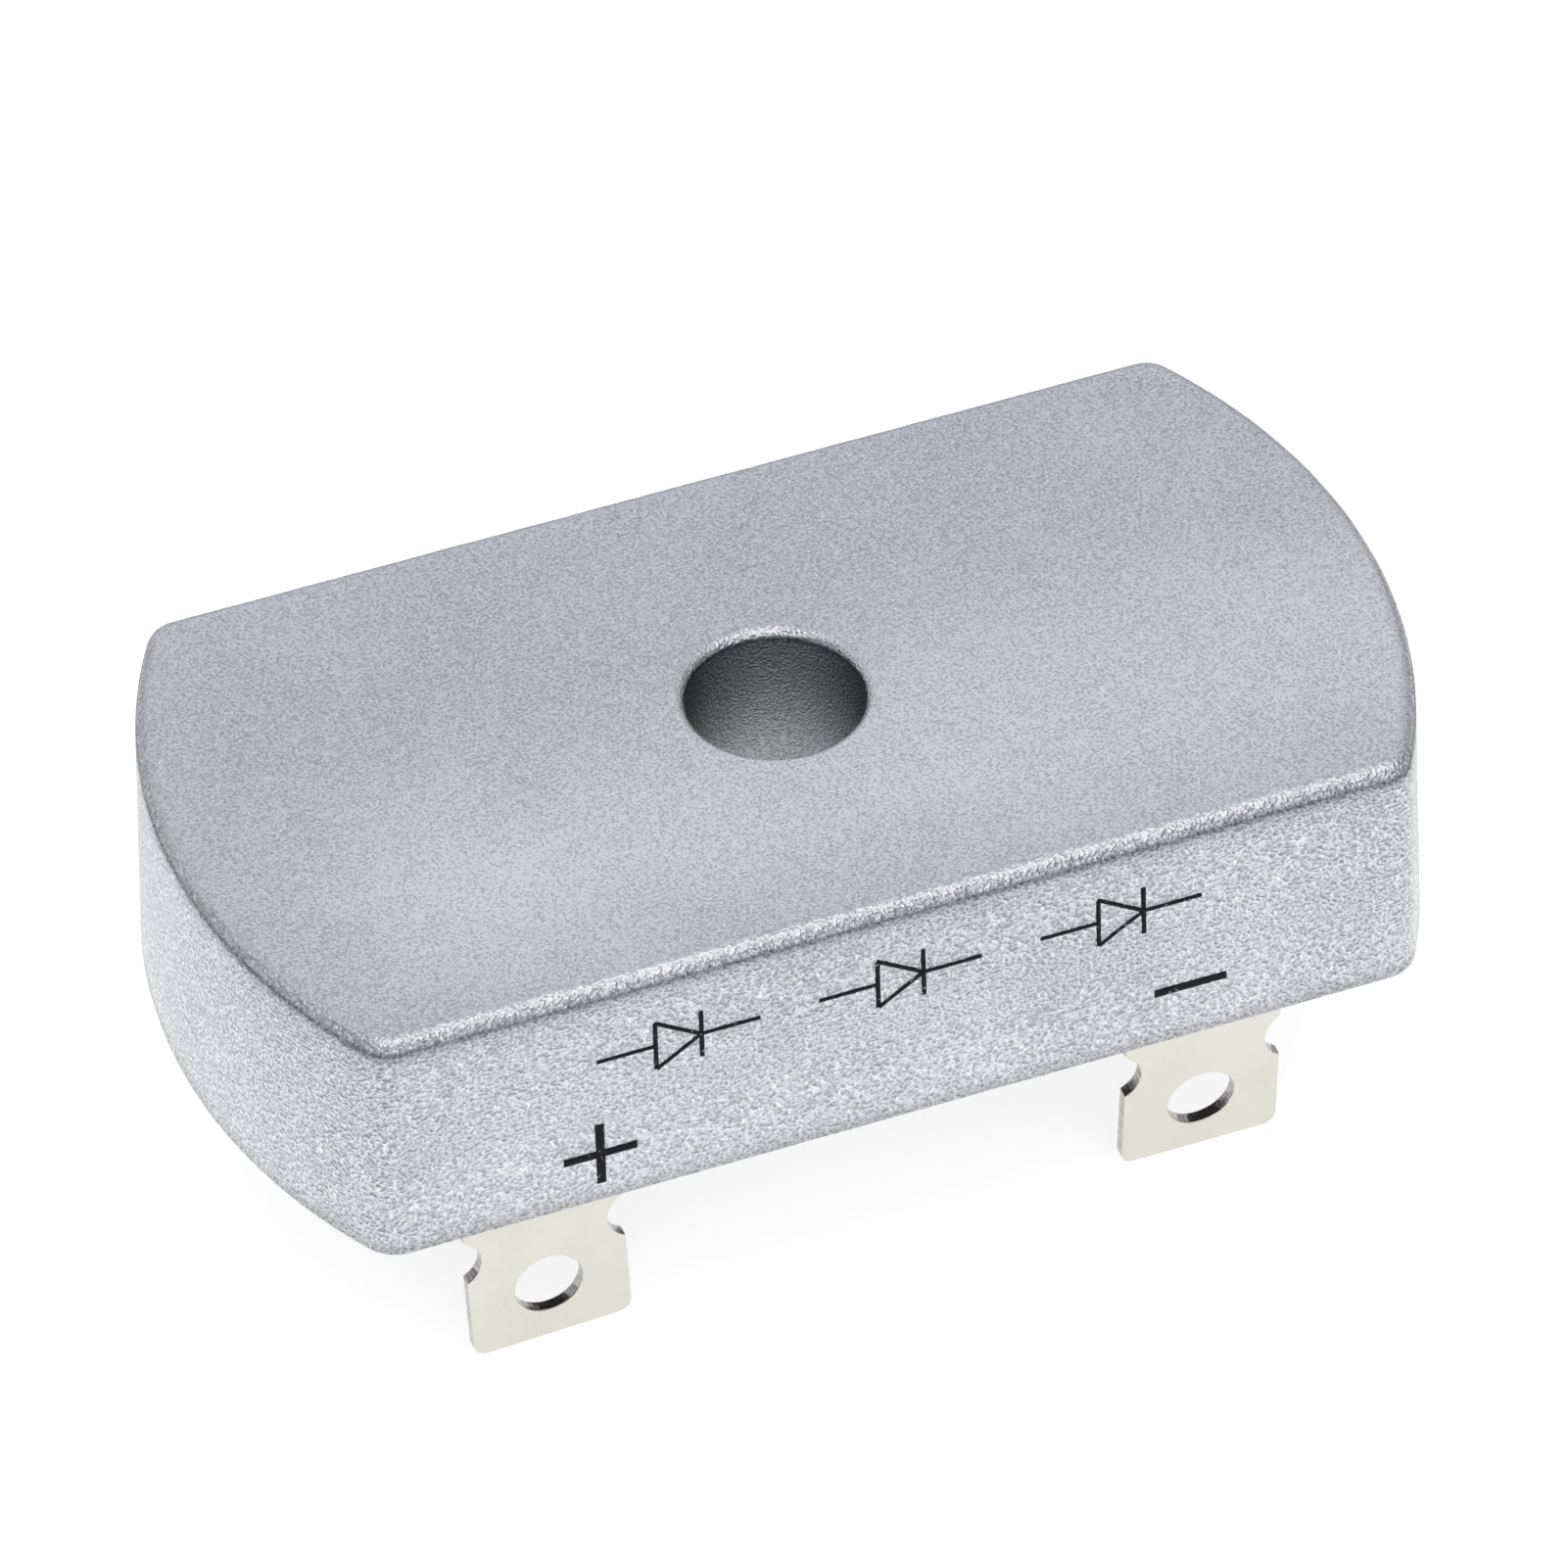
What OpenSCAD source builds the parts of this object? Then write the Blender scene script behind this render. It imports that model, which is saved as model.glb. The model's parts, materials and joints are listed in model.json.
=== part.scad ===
// Three-phase bridge rectifier module in a cast case with a mounting bore through its middle.
// It stands on its five terminals with its heatsink face up.
// Origin: on the bore axis, level with the terminal tips. +X runs along the case, -Y is the front.

/* [Case] */
// Length of the case at its open rim, across the round ends
case_l = 75; // [74:0.1:84]
// Width of the case at its open rim, across the flat sides
case_w = 40; // [38.5:0.1:42]
// Height of the case, from the open rim to the heatsink face
case_h = 16.1; // [14:0.05:24]
// Corner radius at the rim, where a flat side meets a round end
case_corner = 2.5; // [2.2:0.1:5]
// Radius of the edge round the heatsink face
case_edge = 1.2; // [0.4:0.1:1.6]
// Casting draft of the walls, in degrees: the heatsink face is smaller than the rim
draft = 1.5; // [0.5:0.1:3]
// Thickness of the side walls
case_wall = 2.2; // [1.6:0.1:2.6]
// Thickness of the plate under the heatsink face
plate_t = 3.2; // [2:0.1:4]
// Corner radius of the pocket at the rim
pocket_corner = 2.5; // [2:0.1:4]
// Radius between the pocket's walls and its ceiling
pocket_edge = 0.8; // [0.2:0.1:1]

/* [Mounting bore] */
// Diameter of the mounting bore
bore_d = 10.5; // [8.4:0.1:10.8]
// Radius of the bore's mouth in the heatsink face
bore_mouth = 0.8; // [0.3:0.1:1.5]
// Chamfer of the bore at the rim end
bore_chamfer = 0.4; // [0.2:0.1:0.8]
// Wall of the tubular boss round the bore, at the rim end
boss_wall = 1.6; // [1:0.1:1.8]

/* [Terminals] */
// Height of the rim above the terminal tips
tab_drop = 14.45; // [11:0.05:20]
// Thickness of the terminal strip
tab_t = 0.8; // [0.5:0.1:1]
// Width of a terminal blade
tab_w = 9.8; // [8:0.1:11]
// Distance from the round end of the rim in to the middle of an outer blade
tab_end = 17; // [16.5:0.05:17.4]
// Distance from the side of the rim in to the outer face of a blade
tab_inset = 4.5; // [3.6:0.1:5]
// Corner radius of a blade's tip
tab_corner = 0.85; // [0.2:0.05:1.5]
// Diameter of the hole in a blade
tab_hole_d = 4.2; // [3.2:0.1:5]
// Height of the hole's centre above the tip
tab_hole_z = 4.1; // [3.6:0.1:5]
// Radius of the bites in a blade's edges
bite_r = 1.8; // [1:0.1:2]
// Depth of the bites
bite_depth = 1; // [0.5:0.1:1.4]
// Distance from the hole's centre up to the middle of the bites
bite_rise = 3.6; // [3:0.1:4.4]
// Inner radius of the bend above a blade
bend_r = 0.5; // [0.3:0.1:1]
// Width of a terminal's soldered foot
foot_w = 6; // [4:0.1:6.4]
// Length of a terminal's foot, from the blade's outer face
foot_l = 5.9; // [4.5:0.1:6.2]
// Turn of the positive blade in its own plane, in degrees
plus_skew = 2.6; // [0.5:0.1:4]
// Lean of the negative blade below its bites, tip inwards, in degrees
minus_lean = 5.5; // [0.5:0.1:8]

/* [Bridge circuit] */
// Thickness of the ceramic insulating tiles
tile_t = 0.8; // [0.4:0.1:1.2]
// How far a tile stands out past its copper plate
tile_margin = 0.8; // [0.5:0.1:0.9]
// Thickness of the copper plates that carry the dies
copper_t = 1; // [0.5:0.1:1.5]
// Gap between neighbouring copper plates
copper_gap = 2; // [1.9:0.1:2.1]
// Side of a square diode die
die_w = 5.4; // [4:0.1:5.6]
// Thickness of a diode die
die_t = 0.3; // [0.2:0.05:0.5]
// Diameter of the riser disc on a die
riser_d = 4.6; // [3:0.1:4.8]
// Thickness of a riser disc
riser_t = 1.6; // [1.2:0.1:2]
// Width of the bus bars
bus_w = 5; // [4:0.1:5.2]
// Thickness of the bus bars
bus_t = 1; // [0.6:0.1:1.5]

/* [Potting] */
// Depth of the potting's face inside the rim
potting_recess = 0.8; // [0.3:0.1:2]

/* [Hidden] */
$fn = 96;

// Extra length of a cutting shape past the face that it cuts
past = 1;
// How far a corner's round stands proud of the flat and the round end that it joins
proud = 0.01;
// Least gap between live pieces side by side
live_gap = 0.6;
// Gap between the tiles and the curved foot of the pocket's wall or of the boss
seat_gap = 0.2;
// Gap between a copper plate's edge and the blade that passes it
blade_gap = 0.5;
// Margin of copper round a die
die_margin = 0.4;

slope = tan(draft);
rim_z = tab_drop;
top_z = rim_z + case_h;
pocket_h = case_h - plate_t;
ceiling_z = rim_z + pocket_h;
bore_r = bore_d / 2;
boss_r = bore_r + boss_wall;
boss_root_r = boss_r + pocket_h * slope;

// Levels of the stack that hangs under the pocket's ceiling
copper_z = ceiling_z - tile_t - copper_t;
die_z = copper_z - die_t;
riser_z = die_z - riser_t;
bus_z = riser_z - bus_t;

// Plan of the stack
tab_pitch = case_l / 2 - tab_end;
tab_y = case_w / 2 - tab_inset;
copper_y = tab_y - tab_t - blade_gap;
copper_w = tab_pitch - copper_gap;
pocket_end_r = case_l / 2 - case_wall - pocket_h * slope;
tile_end_r = pocket_end_r - pocket_edge - seat_gap;
tile_hole_r = boss_root_r + seat_gap;
die_x = foot_w / 2 + live_gap + die_w / 2;
die_y = copper_y - die_margin - die_w / 2;

// Blade
bite_z = tab_hole_z + bite_rise;
skew_lift = (tab_w / 2 - tab_corner) * sin(plus_skew) - tab_corner * (1 - cos(plus_skew));
lean_pivot_z = bite_z;
lean_blade_l = (lean_pivot_z - tab_t * sin(minus_lean)) / cos(minus_lean);

// ---- the cast form: a round plan cut by two flats, drafted, with rounded edges ----

// Half section of a drafted wall: d wide at the rim, h high, with its top edge rounded
module wall_section(d, h, edge) {
    edge_z = h - edge;
    edge_x = d - edge_z * slope;
    union() {
        polygon([[0, 0], [d, 0], [edge_x, edge_z], [0, edge_z]]);
        translate([0, edge_z]) square([edge_x - edge, edge]);
        translate([edge_x, edge_z]) translate([-edge, 0]) intersection() {
            circle(r = edge);
            square(edge);
        }
    }
}

// Solid block of the cast form, rim down, with its rim at z = 0
module cast_block(l, w, h, corner, edge) {
    corner_y = w / 2 - corner;
    corner_x = sqrt(pow(l / 2 - corner, 2) - pow(corner_y, 2));
    corner_a = atan2(corner_y, corner_x);
    reach = 2 * l;
    union() {
        difference() {
            intersection() {
                rotate_extrude() wall_section(l / 2, h, edge);
                translate([-l, 0, 0]) rotate([90, 0, 90]) linear_extrude(2 * l) union() {
                    wall_section(w / 2, h, edge);
                    mirror([1, 0]) wall_section(w / 2, h, edge);
                }
            }
            for (sx = [0, 1], sy = [0, 1]) mirror([sx, 0, 0]) mirror([0, sy, 0])
                translate([corner_x, corner_y, -past]) linear_extrude(h + 2 * past)
                    polygon([[0, 0], [0, reach], [reach, reach], [reach * cos(corner_a), reach * sin(corner_a)]]);
        }
        for (sx = [0, 1], sy = [0, 1]) mirror([sx, 0, 0]) mirror([0, sy, 0])
            translate([corner_x, corner_y, 0]) rotate_extrude() wall_section(corner + proud, h, edge);
    }
}

// Pocket of the case, boss left out
module pocket() {
    translate([0, 0, rim_z])
        cast_block(case_l - 2 * case_wall, case_w - 2 * case_wall, pocket_h, pocket_corner, pocket_edge);
}

// Boss round the bore, from the rim to the plate, wider at its root
module boss() {
    translate([0, 0, rim_z]) cylinder(h = pocket_h, r1 = boss_r, r2 = boss_root_r);
}

// Everything that the mounting bore takes out of the case
module bore_cut() {
    translate([0, 0, rim_z - past]) cylinder(h = case_h + 2 * past, r = bore_r);
    translate([0, 0, top_z - bore_mouth]) rotate_extrude() difference() {
        square([bore_r + bore_mouth, bore_mouth + past]);
        translate([bore_r + bore_mouth, 0]) circle(r = bore_mouth);
    }
    translate([0, 0, rim_z - past])
        cylinder(h = past + bore_chamfer, r1 = bore_r + bore_chamfer + past, r2 = bore_r);
}

module case() {
    color([0.74, 0.75, 0.78]) difference() {
        translate([0, 0, rim_z]) cast_block(case_l, case_w, case_h, case_corner, case_edge);
        difference() {
            pocket();
            boss();
        }
        bore_cut();
    }
}

// ---- terminals ----

// Square corner piece with its round taken out, for the corner at the origin
module corner_waste(r) {
    difference() {
        square(r);
        translate([r, r]) circle(r = r);
    }
}

// Face of a blade, l long from its tip up
module blade_face(l) {
    difference() {
        translate([-tab_w / 2, 0]) square([tab_w, l]);
        for (side = [0, 1]) mirror([side, 0]) {
            translate([-tab_w / 2, 0]) corner_waste(tab_corner);
            translate([-tab_w / 2 - bite_r + bite_depth, bite_z]) circle(r = bite_r);
        }
        translate([0, tab_hole_z]) circle(d = tab_hole_d);
    }
}

// Flat strip standing in the XZ plane, its outer face at y = 0
module strip() {
    translate([0, tab_t, 0]) rotate([90, 0, 0]) linear_extrude(tab_t) children();
}

// Bend and foot above a blade: the foot's soldered face is at z = top
module foot(top) {
    bend_z = top - tab_t - bend_r;
    bend_y = tab_t + bend_r;
    rotate([90, 0, 90]) translate([0, 0, -foot_w / 2]) linear_extrude(foot_w) union() {
        translate([0, bend_z - past]) square([tab_t, past]);
        translate([bend_y, top - tab_t]) square([foot_l - bend_y, tab_t]);
        translate([bend_y, bend_z]) intersection() {
            difference() {
                circle(r = bend_y);
                circle(r = bend_r);
            }
            translate([-bend_y, 0]) square(bend_y);
        }
    }
}

// Straight terminal in its own frame: tip at z = 0, outer face at y = 0
module terminal(top) {
    strip() blade_face(top - tab_t - bend_r);
    foot(top);
}

// Positive terminal: the blade was soldered in a little askew, its foot lies flat
module skewed_terminal(top) {
    blade_l = top - tab_t - bend_r - past / 2;
    translate([0, 0, skew_lift]) translate([0, 0, tab_hole_z]) rotate([0, -plus_skew, 0])
        translate([0, 0, -tab_hole_z]) strip() blade_face(blade_l - skew_lift);
    translate([-(blade_l - tab_hole_z) * tan(plus_skew), 0, 0]) foot(top);
}

// Negative terminal: the blade is bent inwards across its bites
module leaning_terminal(top) {
    blade_l = top - tab_t - bend_r;
    neck_w = tab_w - 2 * bite_depth;
    strip() intersection() {
        blade_face(blade_l);
        translate([-tab_w, lean_pivot_z]) square([2 * tab_w, blade_l]);
    }
    translate([0, tab_t, lean_pivot_z]) {
        rotate([minus_lean, 0, 0]) translate([0, -tab_t, -lean_blade_l]) strip() intersection() {
            blade_face(blade_l);
            translate([-tab_w, -past]) square([2 * tab_w, past + lean_blade_l]);
        }
        rotate([180, 0, 0]) rotate([90, 0, 90]) translate([0, 0, -neck_w / 2])
            rotate_extrude(angle = minus_lean) square([tab_t, neck_w]);
    }
    foot(top);
}

module front(i) { translate([i * tab_pitch, -tab_y, 0]) children(); }
module rear(i) { translate([i * tab_pitch, tab_y, 0]) rotate([0, 0, 180]) children(); }

module terminal_plus() { color([0.9, 0.89, 0.86]) front(-1) skewed_terminal(bus_z); }
module terminal_minus() { color([0.9, 0.89, 0.86]) front(1) leaning_terminal(bus_z); }
module terminal_ac(i) { color([0.9, 0.89, 0.86]) rear(i) terminal(copper_z); }

// ---- bridge circuit ----

// Plan of bay i of the circuit (-1, 0 or 1), grown by g: the end bays follow the round of the case
module bay_face(i, g) {
    half_w = copper_w / 2 + g;
    half_y = copper_y + g;
    end_r = tile_end_r - tile_margin + g;
    if (i == 0) {
        difference() {
            translate([-half_w, -half_y]) square([2 * half_w, 2 * half_y]);
            circle(r = tile_hole_r + tile_margin - g);
        }
    } else {
        mirror([i < 0 ? 1 : 0, 0]) intersection() {
            translate([tab_pitch - half_w, -half_y]) square([end_r, 2 * half_y]);
            circle(r = end_r);
        }
    }
}

module ceramic_tile(i) {
    color([0.93, 0.92, 0.88]) translate([0, 0, ceiling_z - tile_t])
        linear_extrude(tile_t) bay_face(i, tile_margin);
}

module copper_plate(i) {
    color([0.78, 0.46, 0.32]) translate([0, 0, copper_z]) linear_extrude(copper_t) bay_face(i, 0);
}

// Places children at the die of bay i: row -1 feeds the plus bus in front, 1 the minus bus behind
module at_die(i, row, z) { translate([i * tab_pitch + row * die_x, row * die_y, z]) children(); }

module diode_die(i, row) {
    color([0.32, 0.34, 0.4]) at_die(i, row, die_z)
        translate([-die_w / 2, -die_w / 2, 0]) cube([die_w, die_w, die_t]);
}

module riser_disc(i, row) {
    color([0.72, 0.73, 0.74]) at_die(i, row, riser_z) cylinder(h = riser_t, d = riser_d);
}

// Bar over the three dies of one row
module bus_bar(row) {
    bar_l = 2 * tab_pitch + die_w;
    translate([row * die_x - bar_l / 2, row * die_y - bus_w / 2, bus_z]) cube([bar_l, bus_w, bus_t]);
}

module plus_bus() { color([0.8, 0.5, 0.35]) bus_bar(-1); }

module minus_bus() {
    arm_l = 2 * die_y;
    color([0.8, 0.5, 0.35]) union() {
        bus_bar(1);
        translate([tab_pitch - bus_w / 2, -die_y - bus_w / 2, bus_z]) cube([bus_w, arm_l, bus_t]);
    }
}

module circuit() {
    for (i = [-1, 0, 1]) {
        ceramic_tile(i);
        copper_plate(i);
        terminal_ac(i);
        for (row = [-1, 1]) {
            diode_die(i, row);
            riser_disc(i, row);
        }
    }
    plus_bus();
    minus_bus();
    terminal_plus();
    terminal_minus();
}

module potting() {
    color([0.09, 0.09, 0.1]) difference() {
        intersection() {
            pocket();
            translate([-case_l, -case_w, rim_z + potting_recess]) cube([2 * case_l, 2 * case_w, case_h]);
        }
        boss();
        circuit();
    }
}

case();
potting();
terminal_plus();
terminal_minus();
terminal_ac(-1);  // terminal_ac_1
terminal_ac(0);  // terminal_ac_2
terminal_ac(1);  // terminal_ac_3
plus_bus();
minus_bus();
copper_plate(-1);  // copper_plate_1
copper_plate(0);  // copper_plate_2
copper_plate(1);  // copper_plate_3
ceramic_tile(-1);  // ceramic_tile_1
ceramic_tile(0);  // ceramic_tile_2
ceramic_tile(1);  // ceramic_tile_3
diode_die(-1, -1);  // diode_die_1
diode_die(0, -1);  // diode_die_2
diode_die(1, -1);  // diode_die_3
diode_die(-1, 1);  // diode_die_4
diode_die(0, 1);  // diode_die_5
diode_die(1, 1);  // diode_die_6
riser_disc(-1, -1);  // riser_disc_1
riser_disc(0, -1);  // riser_disc_2
riser_disc(1, -1);  // riser_disc_3
riser_disc(-1, 1);  // riser_disc_4
riser_disc(0, 1);  // riser_disc_5
riser_disc(1, 1);  // riser_disc_6
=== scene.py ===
import json
import math

import bmesh
import bpy
import numpy as np
from bpy.props import FloatProperty, FloatVectorProperty, PointerProperty
from mathutils import Matrix, Vector


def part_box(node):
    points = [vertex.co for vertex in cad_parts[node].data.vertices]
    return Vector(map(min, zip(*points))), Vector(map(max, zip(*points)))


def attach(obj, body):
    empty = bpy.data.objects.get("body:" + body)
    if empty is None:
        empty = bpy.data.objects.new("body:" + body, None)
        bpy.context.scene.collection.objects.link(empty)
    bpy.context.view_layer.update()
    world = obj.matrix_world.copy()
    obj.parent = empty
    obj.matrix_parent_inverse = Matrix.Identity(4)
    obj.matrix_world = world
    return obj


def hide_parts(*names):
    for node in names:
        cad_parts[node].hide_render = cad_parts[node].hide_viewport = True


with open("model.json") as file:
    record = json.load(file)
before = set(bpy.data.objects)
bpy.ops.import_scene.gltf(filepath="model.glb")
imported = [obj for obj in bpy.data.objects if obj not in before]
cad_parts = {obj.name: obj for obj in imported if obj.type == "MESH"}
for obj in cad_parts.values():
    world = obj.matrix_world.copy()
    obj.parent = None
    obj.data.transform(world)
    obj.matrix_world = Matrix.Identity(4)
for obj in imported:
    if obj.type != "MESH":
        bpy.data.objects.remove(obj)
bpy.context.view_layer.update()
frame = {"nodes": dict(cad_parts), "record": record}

bl_info = {
    "name": "Bridge Rectifier Finish",
    "version": (1, 0, 0),
    "blender": (4, 5, 0),
    "location": "3D View > Sidebar > Rectifier",
    "description": "Cast skin, plated terminals, print and stage for a bridge rectifier module",
    "category": "Object",
}

MM = 0.001
BODY = "root"

# ---- the frame's own sizes, in metres ----

CASE_LOW, CASE_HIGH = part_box("case")
RIM_Z, TOP_Z = CASE_LOW.z, CASE_HIGH.z
HALF_LENGTH, HALF_WIDTH = CASE_HIGH.x, CASE_HIGH.y
POTTING_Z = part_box("potting")[0].z
MOUNTS = {mount["name"]: mount for mount in frame["record"]["mounts"]}
BORE_RADIUS = MOUNTS["mounting_bore"]["dims"]["r_mm"] * MM

FRONT_TERMINALS = ("terminal_plus", "terminal_minus")
REAR_TERMINALS = ("terminal_ac_1", "terminal_ac_2", "terminal_ac_3")
COPPER_NODES = ("plus_bus", "minus_bus", "copper_plate_1", "copper_plate_2", "copper_plate_3")
TILE_NODES = ("ceramic_tile_1", "ceramic_tile_2", "ceramic_tile_3")
DIE_NODES = tuple(f"diode_die_{i}" for i in range(1, 7))
RISER_NODES = tuple(f"riser_disc_{i}" for i in range(1, 7))

# ---- how finely the surfaces are divided ----

END_COLUMNS, CORNER_COLUMNS, FLAT_COLUMNS = 110, 12, 130
MOUTH_RINGS, EDGE_RINGS, BREAK_RINGS, POCKET_EDGE_RINGS, MENISCUS_RINGS = 7, 15, 4, 5, 7
BORE_RINGS, TOP_RINGS, WALL_RINGS, INNER_RINGS = 5, 14, 12, 2
GUARD = 0.1 * MM  # from a round to the ring that keeps its smooth shading off the flat beside it
INK_STEP = 0.12 * MM  # along a printed stroke
MARK_COLUMNS, SYMBOL_COLUMNS = 5, 3  # across a printed stroke

# ---- where the finishes and the painted shade change ----

EDGE_ZONE = 3 * MM  # under the heatsink face and round the bore, where edges have their own grit, and under the face their painted shade
RIM_ZONE = 0.5 * MM  # the same for the grit, above the rim
CREASE_DEPTH = 0.68  # of the edge's radius, under the heatsink face
CREASE_RISE, CREASE_FADE = 0.13, 0.3  # of the edge's radius, above and below the crease
RIM_SHADE_HEIGHT, RIM_SHADE_SHARE = 0.25 * MM, 0.6  # of the painted shade along the rim
MOUTH_SMOOTHNESS = 0.6  # of the bore's mouth, where the heatsink face has 1
BORE_SHADE_START, BORE_SHADE_FOOT = 0.7, 0.4  # the bore's painted shade under its mouth and at the rim
FINEST = 9000.0  # noise scale of the plating's grain and of its sheared edges
FLOOR_GLOW = 0.8  # to the camera
TABLE_GLOW = 0.86  # in reflections, beside the module
TABLE_REACH = (75 * MM, 120 * MM)  # from the module, over which the glow in reflections fades


# ---- what a user may change ----


def length(name, description, millimetres):
    """A length property, given in millimetres and kept in metres."""
    return FloatProperty(
        name=name, description=description, default=millimetres * MM, unit="LENGTH", precision=5
    )


def colour(name, description, rgb):
    """A linear colour property."""
    return FloatVectorProperty(
        name=name, description=description, default=rgb, size=3, min=0, max=1, subtype="COLOR"
    )


class CastSizes(bpy.types.PropertyGroup):
    """Sizes of the cast case that the frame's boxes don't give."""

    corner: length("Corner", "Corner radius at the rim, between a flat and a round end", 2.5)
    edge: length("Edge", "Radius of the edge round the heatsink face", 1.2)
    draft: FloatProperty(
        name="Draft",
        description="Casting draft of the walls",
        default=math.radians(1.5),
        subtype="ANGLE",
    )
    wall: length("Wall", "Thickness of the side walls at the rim", 2.2)
    plate: length("Plate", "Thickness of the plate under the heatsink face", 3.2)
    pocket_edge: length("Pocket edge", "Radius between the pocket's walls and its ceiling", 0.8)
    mouth: length("Mouth", "Radius of the bore's mouth in the heatsink face", 0.8)
    chamfer: length("Chamfer", "Chamfer of the bore at the rim end", 0.4)
    boss_wall: length("Boss wall", "Wall of the boss round the bore, at the rim", 1.6)
    rim_break: length("Rim break", "Radius that blasting leaves on the rim's sharp edges", 0.12)
    meniscus: length("Meniscus", "Height and reach of the potting's climb at the walls", 0.5)
    ripple: length("Ripple", "Height of the slow waves that casting leaves in the skin", 0.004)
    grit: length("Grit", "Height of the coarse marks that blasting leaves on the edges", 0.004)


class StripSizes(bpy.types.PropertyGroup):
    """Sizes of the stamped terminals' finish."""

    edge: length("Edge", "Radius that stamping and plating leave on the strip's edges", 0.07)


class PrintSizes(bpy.types.PropertyGroup):
    """Sizes of what is printed on the front."""

    ink: length("Ink", "Thickness of the printed ink", 0.015)
    mark_stroke: length("Mark stroke", "Stroke width of the polarity marks", 0.56)
    plus_span: length("Plus", "Span of the plus mark's arms", 4.5)
    plus_x: length("Plus place", "Plus mark's centre, along the case", -18.6)
    plus_rise: length("Plus height", "Plus mark's centre above the rim", 3.6)
    minus_span: length("Minus", "Length of the minus mark", 4.5)
    minus_x: length("Minus place", "Minus mark's centre, along the case", 17.85)
    minus_rise: length("Minus height", "Minus mark above the rim", 3.95)
    symbol_stroke: length("Symbol stroke", "Stroke width of the diode symbols", 0.28)
    symbol_height: length("Symbol height", "Height of a diode symbol's bar", 3.5)
    symbol_length: length("Symbol length", "Length of a diode symbol with its leads", 10.0)
    symbol_pitch: length("Symbol pitch", "Distance between neighbouring diode symbols", 13.6)
    symbol_rise: length("Symbol height above rim", "Middle of the row of symbols above the rim", 10.65)


class Finishes(bpy.types.PropertyGroup):
    """Colours of the module's materials."""

    aluminium: colour("Aluminium", "Blasted skin of the cast case", (0.69, 0.70, 0.73))
    plating: colour("Plating", "Tin plating of the terminals", (0.665, 0.65, 0.59))
    epoxy: colour("Epoxy", "Potting compound", (0.018, 0.018, 0.02))
    copper: colour("Copper", "Bus bars and die plates", (0.72, 0.36, 0.23))
    alumina: colour("Alumina", "Insulating tiles", (0.82, 0.81, 0.76))
    silicon: colour("Silicon", "Rectifier dies", (0.09, 0.10, 0.14))
    riser: colour("Riser", "Tinned discs on the dies", (0.55, 0.56, 0.57))
    ink: colour("Ink", "Marks printed on the front", (0.012, 0.012, 0.016))
    floor: colour("Floor", "Studio floor", (0.55, 0.55, 0.55))
    front_walls: colour("Front walls", "Studio in front of the module", (0.22, 0.22, 0.23))
    back_walls: colour("Back walls", "Studio behind the module", (0.665, 0.67, 0.72))


class StageSizes(bpy.types.PropertyGroup):
    """Camera and light."""

    azimuth: FloatProperty(
        name="Azimuth",
        description="Camera's turn round the module",
        default=math.radians(-20.26),
        subtype="ANGLE",
    )
    elevation: FloatProperty(
        name="Elevation",
        description="Camera's height angle",
        default=math.radians(42.76),
        subtype="ANGLE",
    )
    roll: FloatProperty(
        name="Roll",
        description="Camera's turn about its own axis",
        default=math.radians(-1.25),
        subtype="ANGLE",
    )
    distance: length("Distance", "Camera to the point it looks at", 863.3)
    aim: FloatVectorProperty(
        name="Aim",
        description="Point that the camera looks at",
        default=(1.896 * MM, 4.008 * MM, 19.225 * MM),
        size=3,
        subtype="TRANSLATION",
    )
    lens: FloatProperty(
        name="Lens", description="Focal length in millimetres", default=338.1, unit="CAMERA"
    )
    lamp_forward: length("Lamp forward", "How far in front of the module the lamp hangs", 450)
    lamp_height: length("Lamp height", "The lamp's height above the floor", 480)
    lamp_width: length("Lamp width", "The lamp's size along the case", 800)
    lamp_depth: length("Lamp depth", "The lamp's size across the case", 900)
    lamp_power: FloatProperty(
        name="Lamp power", description="The lamp's power in watts", default=2.75, unit="POWER"
    )


SETTINGS = {
    "rectifier_cast": CastSizes,
    "rectifier_strip": StripSizes,
    "rectifier_print": PrintSizes,
    "rectifier_finish": Finishes,
    "rectifier_stage": StageSizes,
}


# ---- surfaces ----


def waves(points, wavelength, seed, count=32):
    """Smooth noise with a standard deviation of 1 and one main wavelength.

    The sum of plane cosine waves in random directions with random phases, whose lengths lie within a
    quarter of the wavelength, divided by the square root of half their number.
    """
    draw = np.random.default_rng(seed)
    directions = draw.normal(size=(count, 3))
    directions /= np.linalg.norm(directions, axis=1)[:, None]
    turns = directions / (wavelength * draw.uniform(0.75, 1.25, count)[:, None])
    phases = draw.uniform(0, 2 * np.pi, count)
    total = np.zeros(points.shape[:-1])
    for turn, phase in zip(turns, phases):
        total += np.cos(2 * np.pi * (points @ turn) + phase)
    return total / math.sqrt(count / 2)


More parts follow.
